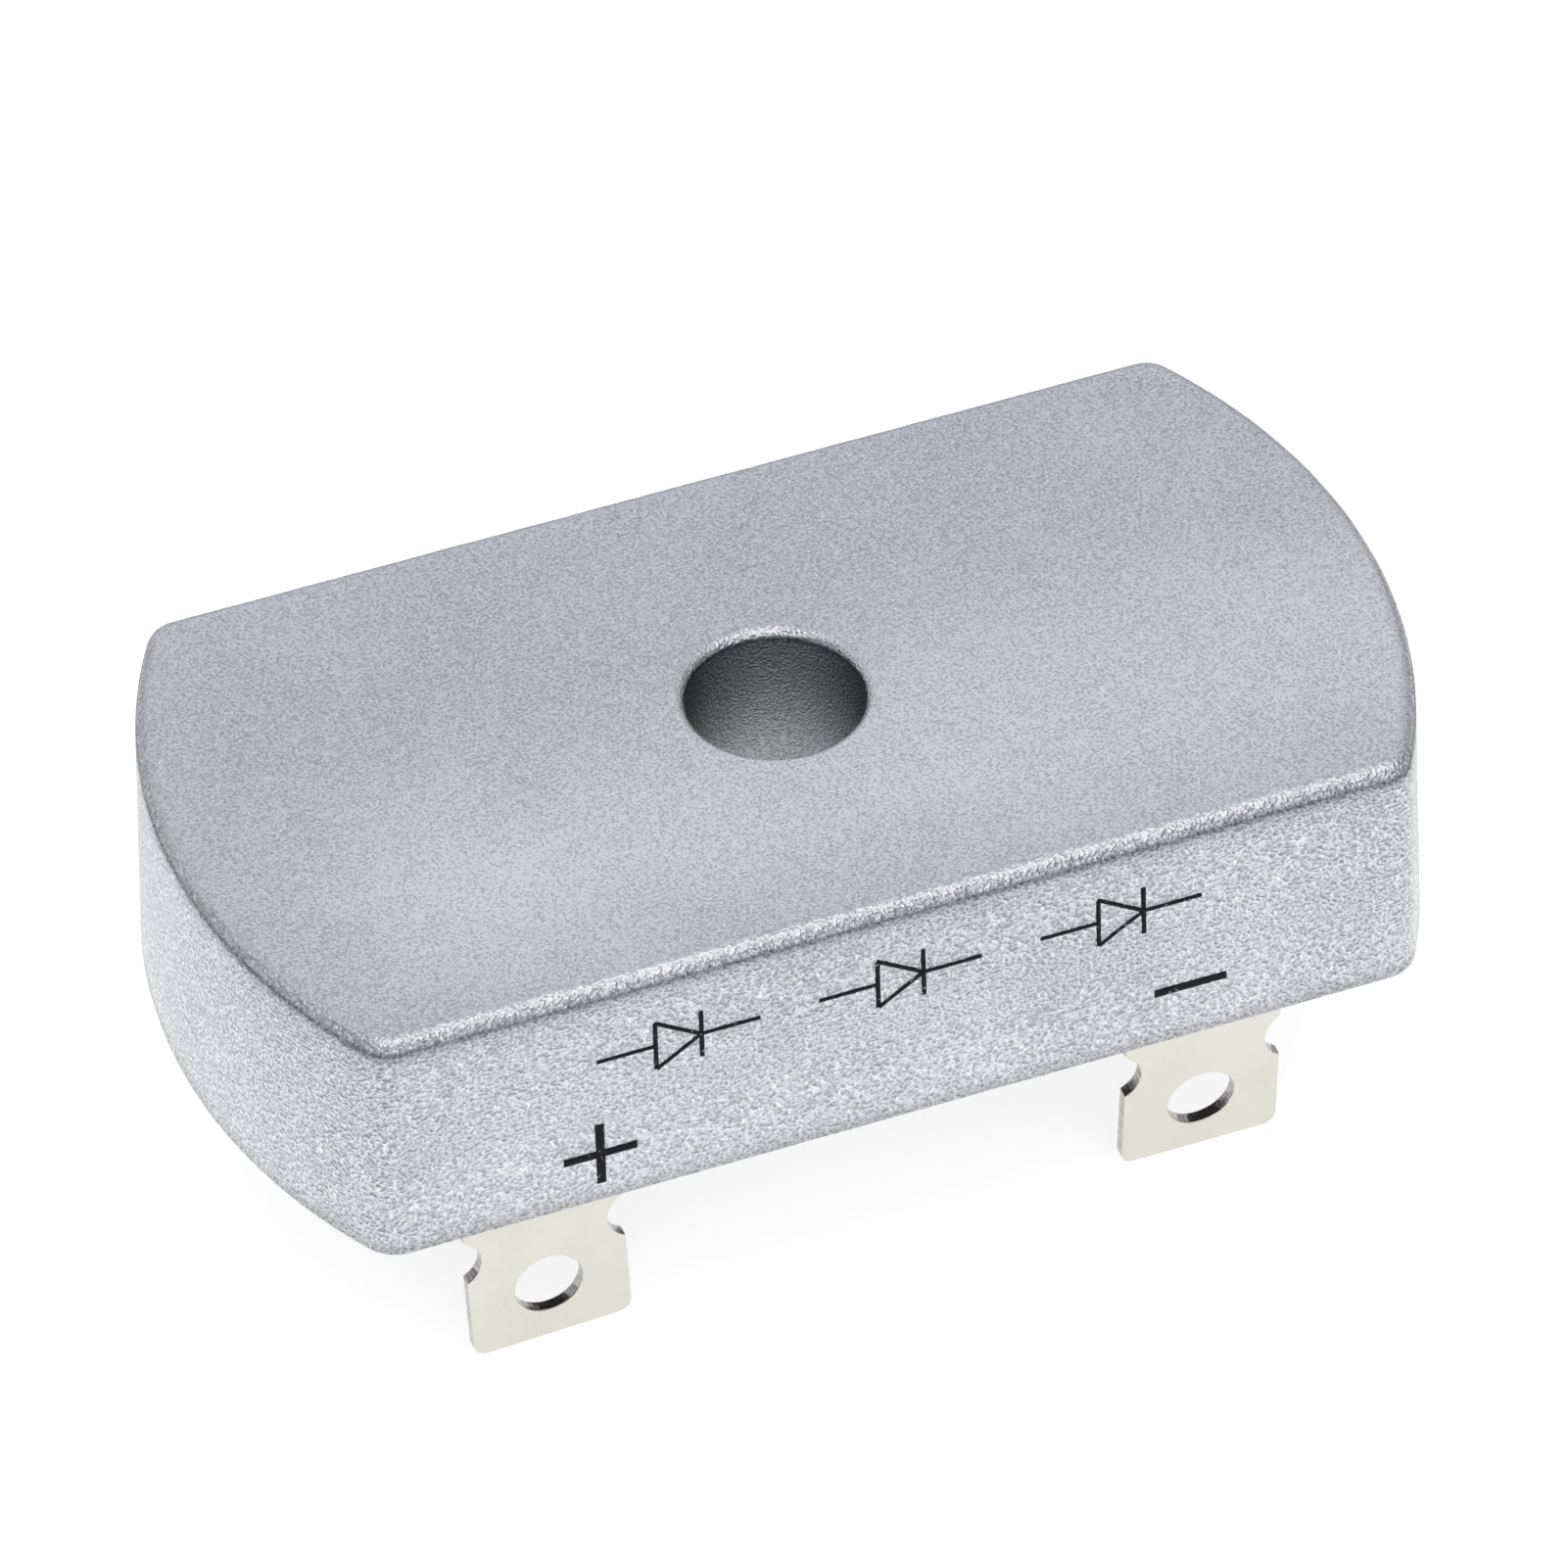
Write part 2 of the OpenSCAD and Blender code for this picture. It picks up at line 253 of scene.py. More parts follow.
def plan(half_length, half_width, corner):
    """Outline of the cast form at its rim, anticlockwise from +X, with its outward normals.

    Each point is a centre plus a radius along the normal. On a round end the centre is the bore's axis
    and the normal swings up to the corner; on the corner the centre is the corner's own; along a flat
    the centre travels and the normal stays square to the side. One quarter is mirrored three times.
    """
    corner_y = half_width - corner
    corner_x = math.sqrt((half_length - corner) ** 2 - corner_y**2)
    swing = math.atan2(corner_y, corner_x)
    right_angle = math.pi / 2
    angle = np.concatenate(
        [
            np.linspace(0, swing, END_COLUMNS, endpoint=False),
            np.linspace(swing, right_angle, CORNER_COLUMNS, endpoint=False),
            np.full(FLAT_COLUMNS + 1, right_angle),
        ]
    )
    centre = np.zeros((len(angle), 2))
    centre[END_COLUMNS:, 0] = corner_x
    centre[END_COLUMNS + CORNER_COLUMNS :, 0] = np.linspace(corner_x, 0, FLAT_COLUMNS + 1)
    centre[END_COLUMNS:, 1] = corner_y
    radius = np.full(len(angle), corner)
    radius[:END_COLUMNS] = half_length
    normal = np.stack([np.cos(angle), np.sin(angle)], 1)
    return all_round(centre + radius[:, None] * normal), all_round(normal)


def all_round(quarter):
    """A closed loop from the quarter that runs from +X to +Y: itself and its three mirror images."""
    back = quarter[::-1]
    return np.concatenate(
        [quarter[:-1], (back * (-1, 1))[:-1], (-quarter)[:-1], (back * (1, -1))[:-1]]
    )


def bearings(outline):
    """Unit directions from the bore's axis to the points of an outline."""
    return outline / np.linalg.norm(outline, axis=1)[:, None]


def from_axis(points):
    """Distance of points from the bore's axis."""
    return np.linalg.norm(points[..., :2], axis=-1)


def ring(points, z):
    """Points in plan, lifted to height z."""
    return np.column_stack([points, np.full(len(points), z)])


def between(first, last, count):
    """Rings between two rings, in equal steps, without the first and the last."""
    share = np.linspace(0, 1, count + 2)[1:-1, None, None]
    return list(first + (last - first) * share)


def quarter_turn(count):
    """Sine and cosine of angles from 0 to a right angle, both ends included."""
    angle = np.linspace(0, math.pi / 2, count)
    return list(zip(np.sin(angle), np.cos(angle)))


def ring_quads(rows, columns, gaps):
    """Quads that join each ring to the next, over this many gaps. With as many gaps as rings, the last
    ring joins the first."""
    row, column = np.meshgrid(np.arange(gaps), np.arange(columns), indexing="ij")
    next_row, next_column = (row + 1) % rows, (column + 1) % columns
    corners = [(row, column), (next_row, column), (next_row, next_column), (row, next_column)]
    return np.stack([r * columns + c for r, c in corners], -1).reshape(-1, 4)


def closed_mesh(name, rings):
    """A mesh from rings of equal length that close both ways, so the last ring joins the first."""
    grid = np.asarray(rings)
    rows, columns = grid.shape[:2]
    return mesh_object(name, grid.reshape(-1, 3), ring_quads(rows, columns, rows))


def mesh_object(name, vertices, quads):
    """A smooth mesh object at the origin, riding on the module's body."""
    mesh = bpy.data.meshes.new(name)
    mesh.vertices.add(len(vertices))
    mesh.vertices.foreach_set("co", np.asarray(vertices, np.float32).ravel())
    mesh.loops.add(quads.size)
    mesh.loops.foreach_set("vertex_index", quads.astype(np.int32).ravel())
    mesh.polygons.add(len(quads))
    mesh.polygons.foreach_set("loop_start", np.arange(0, quads.size, 4, dtype=np.int32))
    mesh.polygons.foreach_set("use_smooth", np.ones(len(quads), bool))
    mesh.update(calc_edges=True)
    mesh.validate()
    piece = bpy.data.objects.new(name, mesh)
    bpy.context.scene.collection.objects.link(piece)
    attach(piece, BODY)
    return piece


def dress(piece, material):
    """Gives a piece its material."""
    piece.data.materials.clear()
    piece.data.materials.append(material)
    return piece


# ---- node trees ----


class Tree:
    """Shorthand for filling a node tree: add() makes a node and sets or links its inputs."""

    def __init__(self, tree):
        self.tree = tree
        tree.nodes.clear()

    def add(self, kind, inputs=None, **settings):
        node = self.tree.nodes.new("ShaderNode" + kind)
        for name, value in settings.items():
            setattr(node, name, value)
        for name, value in (inputs or {}).items():
            self.feed(node.inputs[name], value)
        return node

    def feed(self, socket, value):
        if isinstance(value, bpy.types.NodeSocket):
            self.tree.links.new(value, socket)
        elif socket.type == "RGBA" and len(value) == 3:
            socket.default_value = (*value, 1)
        else:
            socket.default_value = value

    def attribute(self, name):
        return self.add("Attribute", attribute_name=name).outputs["Fac"]

    def maths(self, operation, first, second=0.0):
        return self.add("Math", {0: first, 1: second}, operation=operation).outputs[0]

    def product(self, *factors):
        result = factors[0]
        for factor in factors[1:]:
            result = self.maths("MULTIPLY", result, factor)
        return result

    def remap(self, value, low, high, to_low=0.0, to_high=1.0):
        node = self.add("MapRange", {"Value": value, "From Min": low, "From Max": high})
        self.feed(node.inputs["To Min"], to_low)
        self.feed(node.inputs["To Max"], to_high)
        return node.outputs["Result"]

    def bump(self, height, strength, distance):
        inputs = {"Height": height, "Strength": strength, "Distance": distance}
        return self.add("Bump", inputs).outputs["Normal"]

    def noise(self, vector, scale, detail=2.0, roughness=0.5):
        inputs = {"Vector": vector, "Scale": scale, "Detail": detail, "Roughness": roughness}
        return self.add("TexNoise", inputs).outputs["Fac"]

    def mix(self, share, first, second, blend_type="MIX"):
        node = self.add("Mix", data_type="RGBA", blend_type=blend_type, clamp_result=True)
        self.feed(node.inputs[0], share)
        self.feed(node.inputs[6], first)
        self.feed(node.inputs[7], second)
        return node.outputs[2]

    def blend(self, share, first, second):
        return self.add("Mix", {0: share, 2: first, 3: second}, data_type="FLOAT").outputs[0]

    def group(self, group, inputs):
        node = self.tree.nodes.new("ShaderNodeGroup")
        node.node_tree = group
        for name, value in inputs.items():
            self.feed(node.inputs[name], value)
        return node.outputs


def new_group(name, inputs, outputs):
    """An empty node group with these sockets: the group, its tree, its input node's outputs, and a
    function that feeds its own outputs."""
    group = bpy.data.node_groups.new(name, "ShaderNodeTree")
    for socket, (kind, default) in inputs.items():
        made = group.interface.new_socket(socket, in_out="INPUT", socket_type=kind)
        if default is not None:
            made.default_value = default
    for socket, kind in outputs.items():
        group.interface.new_socket(socket, in_out="OUTPUT", socket_type=kind)
    tree = Tree(group)
    entry = group.nodes.new("NodeGroupInput")
    leave = group.nodes.new("NodeGroupOutput")

    def finish(**values):
        for socket, value in values.items():
            tree.feed(leave.inputs[socket], value)

    return group, tree, entry.outputs, finish


def shared_group(name, build):
    """The node group of that name, built the first time that a material asks for it."""
    return bpy.data.node_groups.get(name) or build(name)


def blast_grain(name):
    """Pits and peaks that blasting leaves: their height, and a mask of scattered specks, which the
    aluminium paints as glints.
    """
    group, tree, given, finish = new_group(
        name,
        {"Vector": ("NodeSocketVector", None), "Grain": ("NodeSocketFloat", 0.0004)},
        {"Height": "NodeSocketFloat", "Speck": "NodeSocketFloat"},
    )
    per_metre = tree.maths("DIVIDE", 1.0, given["Grain"])
    rough = tree.noise(given["Vector"], per_metre, detail=0.6, roughness=0.6)
    denser = tree.maths("MULTIPLY", per_metre, 1.3)
    dust = tree.noise(given["Vector"], denser, detail=1.0, roughness=0.7)
    finish(Height=tree.remap(rough, 0.2, 0.8), Speck=tree.remap(dust, 0.60, 0.70))
    return group


def mottle(name):
    """Slow clouds of tone, as handling and plating leave them."""
    group, tree, given, finish = new_group(
        name,
        {"Vector": ("NodeSocketVector", None), "Patch": ("NodeSocketFloat", 0.008)},
        {"Cloud": "NodeSocketFloat"},
    )
    per_metre = tree.maths("DIVIDE", 1.0, given["Patch"])
    cloud = tree.noise(given["Vector"], per_metre, detail=3.0, roughness=0.55)
    finish(Cloud=tree.remap(cloud, 0.2, 0.8))
    return group


def new_material(name):
    """A material with a Principled shader: its tree, the shader, and object coordinates."""
    material = bpy.data.materials.new(name)
    material.use_nodes = True
    tree = Tree(material.node_tree)
    shader = tree.add("BsdfPrincipled")
    tree.add("OutputMaterial", {"Surface": shader.outputs[0]})
    place = tree.add("TexCoord").outputs["Object"]
    return material, tree, shader, place


def set_shader(tree, shader, **values):
    """Sets or links the shader's inputs, named with _ for a space."""
    for name, value in values.items():
        tree.feed(shader.inputs[name.replace("_", " ")], value)


def scaled(rgb, factor):
    """A colour made lighter or darker."""
    return tuple(min(1.0, c * factor) for c in rgb)


def grain(tree, place, size):
    """The blasted grain at one size: its height and its specks."""
    return tree.group(shared_group("Blast Grain", blast_grain), {"Vector": place, "Grain": size})


def clouded(tree, place, rgb, patch, dark, pale):
    """Slow clouds between a darker and a paler tone of a colour: their mask, and the colour."""
    cloud = tree.group(shared_group("Mottle", mottle), {"Vector": place, "Patch": patch})["Cloud"]
    return cloud, tree.mix(cloud, scaled(rgb, dark), scaled(rgb, pale))


def front_light_share(tree, place, heatsink):
    """The share of painted light on the heatsink face: none behind the middle and 0.75 in front of it,
    fading towards the front edge and the left end."""
    where = tree.add("SeparateXYZ", {"Vector": place}).outputs
    to_front = tree.remap(where["Y"], 0.25 * HALF_WIDTH, -0.4 * HALF_WIDTH, 0.0, 0.75)
    off_edge = tree.remap(where["Y"], -0.95 * HALF_WIDTH, -0.55 * HALF_WIDTH, 0.2, 1.0)
    off_end = tree.remap(where["X"], -HALF_LENGTH, -0.6 * HALF_LENGTH)
    return tree.product(to_front, off_end, heatsink, off_edge)


def cast_aluminium(finish):
    """Blasted cast aluminium, over slow clouds of tone.

    Its grain is coarse on the walls, and fine and nearly flat on the heatsink face and in the bore; its
    tone darkens its pits as painted shade and lightens its peaks and specks as painted highlight. The
    front of the heatsink face is painted brighter, as painted light. The crease under its edge and the
    bore are painted dark, as painted shade.
    """
    material, tree, shader, place = new_material("blasted_aluminium")
    heatsink, bore, crease_shade = (tree.attribute(name) for name in ("heatsink", "bore", "crease_shade"))
    smooth = tree.maths("MAXIMUM", heatsink, tree.remap(bore, 0.0, BORE_SHADE_FOOT, 0.0, 0.85))
    coarse, fine = grain(tree, place, 0.22 * MM), grain(tree, place, 0.18 * MM)
    height = tree.blend(smooth, coarse["Height"], fine["Height"])
    speck = tree.blend(smooth, coarse["Speck"], fine["Speck"])
    low, middle, high = 0.15, 0.5, 0.85  # of the grain's height
    # the grain's tone: painted shade in its pits and painted highlight on its peaks
    pit_shade = tree.product(tree.remap(height, middle, low), tree.blend(heatsink, 0.45, 0.4))
    peak_highlight = tree.product(tree.remap(height, middle, high), tree.blend(heatsink, 0.75, 0.65))
    # painted glints: scattered specks made brighter
    painted_glint = tree.product(speck, tree.blend(smooth, 0.4, 1.0))
    cloud, skin = clouded(tree, place, finish.aluminium, 12 * MM, 0.89, 1.08)
    # pits painted dark as shade, peaks and specks painted bright as highlight
    for share, tone in ((pit_shade, 0.3), (peak_highlight, 1.3), (painted_glint, 1.5)):
        skin = tree.mix(share, skin, scaled(finish.aluminium, tone))
    # painted light: the front of the heatsink face is multiplied brighter
    painted_front_light = front_light_share(tree, place, heatsink)
    skin = tree.mix(painted_front_light, skin, (1.27, 1.27, 1.27), "MULTIPLY")
    # painted shade: the crease and the bore are multiplied dark
    painted_shade = tree.maths("MAXIMUM", tree.product(crease_shade, 0.76), tree.product(bore, 0.9))
    skin = tree.mix(painted_shade, skin, (0.17, 0.17, 0.18), "MULTIPLY")
    rough = tree.blend(bore, tree.remap(height, low, high, 0.46, 0.34), 0.3)
    bump = tree.bump(height, 1.0, tree.blend(smooth, 0.18 * MM, 0.004 * MM))
    set_shader(tree, shader, Base_Color=skin, Roughness=rough, Normal=bump, Metallic=1.0)
    return material


def plated_strip(finish):
    """Tin-plated strip: pale and nearly even on its faces, darker and glossier on its sheared edges."""
    material, tree, shader, place = new_material("tin_plating")
    cloud, skin = clouded(tree, place, finish.plating, 3 * MM, 0.94, 1.03)
    normal = tree.add("NewGeometry").outputs["True Normal"]
    facing = tree.add("SeparateXYZ", {"Vector": normal}).outputs["Y"]
    sheared = tree.remap(tree.maths("ABSOLUTE", facing), 0.5, 0.1)
    streaks = tree.add("Mapping", {"Vector": place, "Scale": (1.0, 0.12, 1.0)}).outputs[0]
    drag = tree.remap(tree.noise(streaks, FINEST), 0.35, 0.65)
    cut = tree.mix(drag, scaled(finish.plating, 0.35), scaled(finish.plating, 0.8))
    skin = tree.mix(sheared, skin, cut)
    rough = tree.blend(sheared, tree.remap(cloud, 0, 1, 0.24, 0.34), 0.16)
    bump = tree.bump(tree.noise(place, FINEST), 0.6, 0.004 * MM)
    set_shader(tree, shader, Base_Color=skin, Roughness=rough, Normal=bump, Metallic=1.0)
    return material


def epoxy(finish):
    """Poured black epoxy: satin, with slow waves and a little dust."""
    material, tree, shader, place = new_material("poured_epoxy")
    cloud, skin = clouded(tree, place, finish.epoxy, 6 * MM, 0.8, 1.5)
    dust = tree.product(grain(tree, place, 0.6 * MM)["Speck"], 0.25)
    dusty = tree.mix(dust, skin, (0.2, 0.2, 0.2))
    rough = tree.remap(cloud, 0, 1, 0.3, 0.42)
    bump = tree.bump(cloud, 0.5, 0.1 * MM)
    set_shader(tree, shader, Base_Color=dusty, Roughness=rough, Normal=bump)
    return material


def plain_metal(name, rgb, low_rough, high_rough):
    """A sealed metal piece: clouds of tarnish over a fine grain."""
    material, tree, shader, place = new_material(name)
    cloud, skin = clouded(tree, place, rgb, 4 * MM, 0.8, 1.08)
    rough = tree.remap(cloud, 0, 1, low_rough, high_rough)
    bump = tree.bump(grain(tree, place, 0.3 * MM)["Height"], 0.4, 0.01 * MM)
    set_shader(tree, shader, Base_Color=skin, Roughness=rough, Normal=bump, Metallic=1.0)
    return material


def plain_ceramic(name, rgb, low_rough, high_rough):
    """A sealed ceramic or silicon piece: a fine speckle over slow clouds."""
    material, tree, shader, place = new_material(name)
    cloud, skin = clouded(tree, place, rgb, 5 * MM, 0.92, 1.05)
    height = grain(tree, place, 0.25 * MM)["Height"]
    speckled = tree.mix(tree.product(height, 0.3), skin, scaled(rgb, 0.8))
    rough = tree.remap(height, 0, 1, low_rough, high_rough)
    set_shader(tree, shader, Base_Color=speckled, Roughness=rough)
    return material


def ink(finish):
    """Printed ink over the blasted skin: matt, with a few grains of metal showing through."""
    material, tree, shader, place = new_material("printed_ink")
    blasted = grain(tree, place, 0.42 * MM)
    thin = tree.remap(blasted["Speck"], 0.55, 1.0, 0, 0.7)
    skin = tree.mix(thin, finish.ink, scaled(finish.aluminium, 0.6))
    rough = tree.remap(blasted["Height"], 0, 1, 0.45, 0.65)
    bump = tree.bump(blasted["Height"], 0.5, 0.03 * MM)
    set_shader(tree, shader, Base_Color=skin, Roughness=rough, Normal=bump)
    set_shader(tree, shader, Specular_IOR_Level=0.12)
    return material


def floor_finish(finish):
    """White studio floor: matt, with a glow that makes it white beyond the module's soft shadow.

    In reflections the glow fades with the distance from the module, as a table ends. A camera under the
    floor looks through it.
    """
    material, tree, shader, place = new_material("studio_floor")
    cloud, skin = clouded(tree, place, finish.floor, 400 * MM, 0.99, 1.01)
    rays = tree.add("LightPath").outputs
    distance = tree.add("VectorMath", {0: place}, operation="LENGTH").outputs["Value"]
    near = tree.remap(distance, *TABLE_REACH, TABLE_GLOW, 0.0)
    reflected = tree.product(rays["Is Glossy Ray"], near)
    seen = tree.maths("MAXIMUM", rays["Is Camera Ray"], rays["Is Transmission Ray"])
    glow = tree.maths("MAXIMUM", tree.product(seen, FLOOR_GLOW), reflected)
    set_shader(tree, shader, Base_Color=skin, Roughness=0.9, Specular_IOR_Level=0.0)
    set_shader(tree, shader, Emission_Color=(1, 1, 1), Emission_Strength=glow)
    under = tree.product(tree.add("NewGeometry").outputs["Backfacing"], rays["Is Camera Ray"])
    window = tree.add("BsdfTransparent").outputs[0]
    both = tree.add("MixShader", {0: under, 1: shader.outputs[0], 2: window}).outputs[0]
    tree.feed(material.node_tree.get_output_node("ALL").inputs["Surface"], both)
    return material


# ---- pieces ----


def cast_rings(cast):
    """The case as rings round the bore, from the bore's wall over the heatsink face, down the outside,
    across the rim, up the pocket, over its ceiling and down the boss, back to the bore."""
    slope = math.tan(cast.draft)
    height = TOP_Z - RIM_Z
    outline, normal = plan(HALF_LENGTH, HALF_WIDTH, cast.corner)
    pocket, pocket_normal = plan(HALF_LENGTH - cast.wall, HALF_WIDTH - cast.wall, cast.corner)
    pocket_height = height - cast.plate
    boss_radius = BORE_RADIUS + cast.boss_wall
    boss_root = boss_radius + pocket_height * slope
    bearing = bearings(outline)

    def outside(inset, z):
        return ring(outline - inset * normal, z)

    def inside(inset, z):
        return ring(pocket - inset * pocket_normal, z)

    def round_bore(radius, z):
        return ring(bearing * radius, z)

    # the bore and its mouth
    rings = [round_bore(BORE_RADIUS, RIM_Z + cast.chamfer)]
    rings += between(rings[-1], round_bore(BORE_RADIUS, TOP_Z - cast.mouth), BORE_RINGS)
    for sine, cosine in quarter_turn(MOUTH_RINGS):
        radius = BORE_RADIUS + cast.mouth * (1 - cosine)
        rings.append(round_bore(radius, TOP_Z - cast.mouth * (1 - sine)))
    rings.append(round_bore(BORE_RADIUS + cast.mouth + GUARD, TOP_Z))
    # the heatsink face and its rounded edge
    edge_z = height - cast.edge
    top = outside(edge_z * slope + cast.edge + GUARD, TOP_Z)
    rings += between(rings[-1], top, TOP_RINGS)
    rings.append(top)
    for sine, cosine in quarter_turn(EDGE_RINGS)[::-1]:
        inset = edge_z * slope + cast.edge * (1 - cosine)
        rings.append(outside(inset, TOP_Z - cast.edge * (1 - sine)))
    # the drafted outside and the rim
    for drop in (GUARD, 4 * GUARD):
        rings.append(outside((edge_z - drop) * slope, RIM_Z + edge_z - drop))
    broken = cast.rim_break
    rings += between(rings[-1], outside(broken * slope, RIM_Z + broken), WALL_RINGS)
    for sine, cosine in quarter_turn(BREAK_RINGS)[::-1]:
        rings.append(outside(broken * (1 - sine), RIM_Z + broken * (1 - cosine)))
    rings += between(rings[-1], inside(-broken, RIM_Z), INNER_RINGS)
    for sine, cosine in quarter_turn(BREAK_RINGS):
        rings.append(inside(broken * (sine - 1), RIM_Z + broken * (1 - cosine)))
    # the pocket's wall and ceiling
    pocket_edge_z = pocket_height - cast.pocket_edge
    pocket_edge = inside(pocket_edge_z * slope, RIM_Z + pocket_edge_z)
    rings += between(rings[-1], pocket_edge, INNER_RINGS)
    for sine, cosine in quarter_turn(POCKET_EDGE_RINGS):
        inset = pocket_edge_z * slope + cast.pocket_edge * (1 - cosine)
        rings.append(inside(inset, RIM_Z + pocket_edge_z + cast.pocket_edge * sine))
    ceiling = round_bore(boss_root, RIM_Z + pocket_height)
    rings += between(rings[-1], ceiling, INNER_RINGS)
    rings.append(ceiling)
    # the boss and the bore's chamfer
    rings += between(rings[-1], round_bore(boss_radius, RIM_Z + broken), INNER_RINGS)
    for sine, cosine in quarter_turn(BREAK_RINGS):
        rings.append(round_bore(boss_radius - broken * (1 - cosine), RIM_Z + broken * (1 - sine)))
    chamfer = round_bore(BORE_RADIUS + cast.chamfer, RIM_Z)
    rings += between(rings[-1], chamfer, INNER_RINGS)
    rings.append(chamfer)
    return np.asarray(rings)


def grid_normals(grid):
    """Unit normals of a grid that closes both ways: the cross product of its central differences."""
    along = np.roll(grid, -1, 1) - np.roll(grid, 1, 1)
    across = np.roll(grid, -1, 0) - np.roll(grid, 1, 0)
    normal = np.cross(across, along)
    return normal / np.maximum(np.linalg.norm(normal, axis=2), 1e-12)[..., None]


def skin_relief(points, cast):
    """How far the skin stands off its true surface, in slow casting ripples."""
    return cast.ripple * waves(points, 4.5 * MM, 11)


def edge_share(normals, points):
    """1 on the rounded edges and 0 on the flats and walls.

    An edge's normal points neither up, down nor sideways, so the share is 4 times the product of the
    squares of its upward and its sideways parts. The pocket's own edges, inside the casting, stay 0.
    """
    upward = normals[..., 2] ** 2
    share = np.clip(4 * upward * (1 - upward), 0, 1)
    near_bore = from_axis(points) <= BORE_RADIUS + EDGE_ZONE
    high = points[..., 2] > TOP_Z - EDGE_ZONE
    low = points[..., 2] < RIM_Z + RIM_ZONE
    return share * (high | low | near_bore)


def crease_shade_share(normals, points, edge):
    """1 along the foot of the rounded edge, where the skin is painted dark as shade, and 0 away from
    it.

    Over the depth under the heatsink face the share rises as half a bell curve up to the crease, and
    fades exponentially below it. Along the rim, where shade is painted too, it is half a bell curve, on
    what faces sideways.
    """
    past = (TOP_Z - points[..., 2]) / edge - CREASE_DEPTH
    share = np.where(past < 0, np.exp(-((past / CREASE_RISE) ** 2)), np.exp(-past / CREASE_FADE))
    outside = from_axis(points) > BORE_RADIUS + EDGE_ZONE
    share = np.where(outside & (points[..., 2] > TOP_Z - EDGE_ZONE), share, 0.0)
    sideways = 1 - normals[..., 2] ** 2
    above_rim = (points[..., 2] - RIM_Z) / RIM_SHADE_HEIGHT
    return np.maximum(share, RIM_SHADE_SHARE * np.exp(-(above_rim**2)) * sideways)


def heatsink_share(normals, points, mouth):
    """How smooth the blasting left the skin: the fourth power of its normal's upward part, and no less
    than the mouth's smoothness in the bore's mouth."""
    in_mouth = (from_axis(points) < BORE_RADIUS + mouth) & (points[..., 2] > TOP_Z - mouth)
    return np.maximum(np.clip(normals[..., 2], 0, 1) ** 4, MOUTH_SMOOTHNESS * in_mouth)


def bore_shade_share(points, mouth):
    """The bore's painted shade, which is 0 outside it. The skin also takes its grain's fineness and
    roughness from it.

    It rises in a straight line from its start, under the mouth, to 1 at one mouth's depth below that.
    It is multiplied by a factor that falls from 1 at the heatsink face to the foot's share at the rim.
    """
    depth = np.clip((TOP_Z - points[..., 2]) / (TOP_Z - RIM_Z), 0, 1)
    past_mouth = np.clip((TOP_Z - mouth - points[..., 2]) / mouth, 0, 1)
    in_bore = from_axis(points) < BORE_RADIUS + GUARD
    return in_bore * (BORE_SHADE_START + (1 - BORE_SHADE_START) * past_mouth) * (1 - (1 - BORE_SHADE_FOOT) * depth)


def paint(piece, name, values):
    """Stores one value a vertex as a named attribute, for the materials to read."""
    attribute = piece.data.attributes.new(name, "FLOAT", "POINT")
    attribute.data.foreach_set("value", np.asarray(values, np.float32).ravel())


def make_case(scene):
    """The cast case as one closed skin, with its ripples and grit pushed along the normals."""
    cast = scene.rectifier_cast
    grid = cast_rings(cast)
    normals = grid_normals(grid)
    marks = edge_share(normals, grid) * cast.grit * waves(grid, 0.6 * MM, 12)
    relief = skin_relief(grid, cast) + marks
    case = closed_mesh("case_skin", grid + normals * relief[..., None])
    # painted shade: a dark line along the foot of the edge and along the rim
    paint(case, "crease_shade", crease_shade_share(normals, grid, cast.edge))
    paint(case, "heatsink", heatsink_share(normals, grid, cast.mouth))
    # painted shade in the bore, which also sets its grain's fineness and roughness
    paint(case, "bore", bore_shade_share(grid, cast.mouth))
    dress(case, cast_aluminium(scene.rectifier_finish))
    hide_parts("case")
    return case


def softened_copy(node, name, radius):
    """A copy of a CAD node as one welded mesh, whose sharp edges are rounded by a Bevel modifier."""
    mesh = bpy.data.meshes.new(name)
    welded = bmesh.new()
    welded.from_mesh(frame["nodes"][node].data)
    bmesh.ops.remove_doubles(welded, verts=welded.verts, dist=1e-6)
    bmesh.ops.dissolve_limit(
        welded, angle_limit=math.radians(0.5), verts=welded.verts, edges=welded.edges
    )
    for face in welded.faces:
        face.smooth = True
    welded.to_mesh(mesh)
    welded.free()
    piece = bpy.data.objects.new(name, mesh)
    bpy.context.scene.collection.objects.link(piece)
    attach(piece, BODY)
    bevel = piece.modifiers.new("edges", "BEVEL")
    bevel.width = radius
    bevel.segments = 3
    bevel.limit_method = "ANGLE"
    bevel.angle_limit = math.radians(40)
    piece.modifiers.new("shading", "WEIGHTED_NORMAL").weight = 100
    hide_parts(node)
    return piece


def make_terminals(scene):
    """The five plated terminals, with the rounded edges of stamped strip."""
    material = plated_strip(scene.rectifier_finish)
    for node in FRONT_TERMINALS + REAR_TERMINALS:
        piece = softened_copy(node, node + "_strip", scene.rectifier_strip.edge)
        dress(piece, material)


def meniscus_rings(wall, away, size):
    """The potting's climb up a wall, as the rings of a thin curved wedge.

    At each point of the wall's plan, the section runs from the wall, one size past the potting's face,
    in a quarter circle to the face, one size away from the wall, and returns a little inside both.
    """
    sink = 0.02 * MM
    rings = [ring(wall - sink * away, POTTING_Z + sink), ring(wall - sink * away, POTTING_Z - size)]
    for sine, cosine in quarter_turn(MENISCUS_RINGS):
        rings.append(ring(wall + size * (1 - cosine) * away, POTTING_Z - size * (1 - sine)))
    return rings + [ring(wall + size * away, POTTING_Z + sink)]


